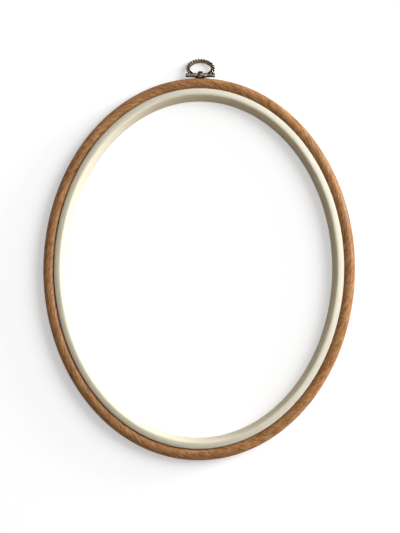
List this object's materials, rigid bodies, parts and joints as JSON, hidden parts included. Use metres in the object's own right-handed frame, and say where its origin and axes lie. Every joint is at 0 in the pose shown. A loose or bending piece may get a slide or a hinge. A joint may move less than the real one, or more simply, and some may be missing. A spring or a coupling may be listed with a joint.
{
  "type": "embroidery hoop",
  "caption": "Oval screwless embroidery hoop: a flexible wood-look outer ring over a rigid plastic inner ring, with a rope-twist hanging loop in antique brass.",
  "frame": {"origin": "centre of the oval, in the plane that the back of the inner ring rests on", "axes": "+Z out of the hoop's front, +Y along the long axis towards the hanger, +X along the short axis"},
  "size_m": [0.195, 0.2537, 0.0089],
  "materials": {
    "cream_plastic": "satin cream moulded plastic with faint moulding streaks",
    "woodgrain_vinyl": "flexible vinyl embossed and printed with a light brown wood grain",
    "antique_brass": "antiqued brass, near-black in the recesses and rubbed bright on the high spots",
    "washer_steel": "plain pressed steel"
  },
  "bodies": {
    "inner_ring": {"inner_ring": "cream_plastic"},
    "outer_ring": {"outer_ring": "woodgrain_vinyl", "hanger_eye": "antique_brass", "shank_washer": "washer_steel"},
    "bail": {"bail": "antique_brass", "bail_bar": "antique_brass", "left_bead": "antique_brass", "right_bead": "antique_brass"}
  },
  "joints": [
    {"name": "outer_ring_lift", "type": "slide", "parent": "inner_ring", "child": "outer_ring", "axis": [0, 0, 1], "range_m": [0, 0.008]},
    {"name": "bail_swing", "type": "hinge", "parent": "outer_ring", "child": "bail", "pos_m": [0, 0.122, 0.0047], "axis": [1, 0, 0], "range_deg": [-102, 138]}
  ]
}
